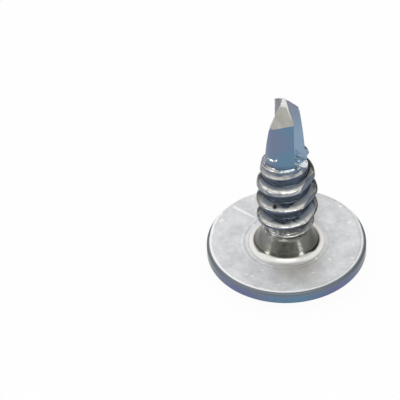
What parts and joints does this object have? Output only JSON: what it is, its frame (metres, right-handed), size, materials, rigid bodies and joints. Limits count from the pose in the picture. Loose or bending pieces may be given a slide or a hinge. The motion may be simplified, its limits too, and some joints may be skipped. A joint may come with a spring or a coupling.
{
  "type": "self drilling screw",
  "caption": "Wafer-head self drilling screw with a cross recess, a conical neck, a rolled thread and a fluted drill point that cuts its own hole in thin sheet steel.",
  "frame": {"origin": "on the screw's axis, in the bearing face on the underside of the head", "axes": "+Z along the screw's axis from the head to the drill point; the screw stands on the crown of its head"},
  "size_m": [0.011, 0.011, 0.0146],
  "materials": {
    "zinc_plated_steel": "bright zinc plate on carbon steel"
  },
  "bodies": {
    "root": {"screw": "zinc_plated_steel"}
  },
  "joints": []
}
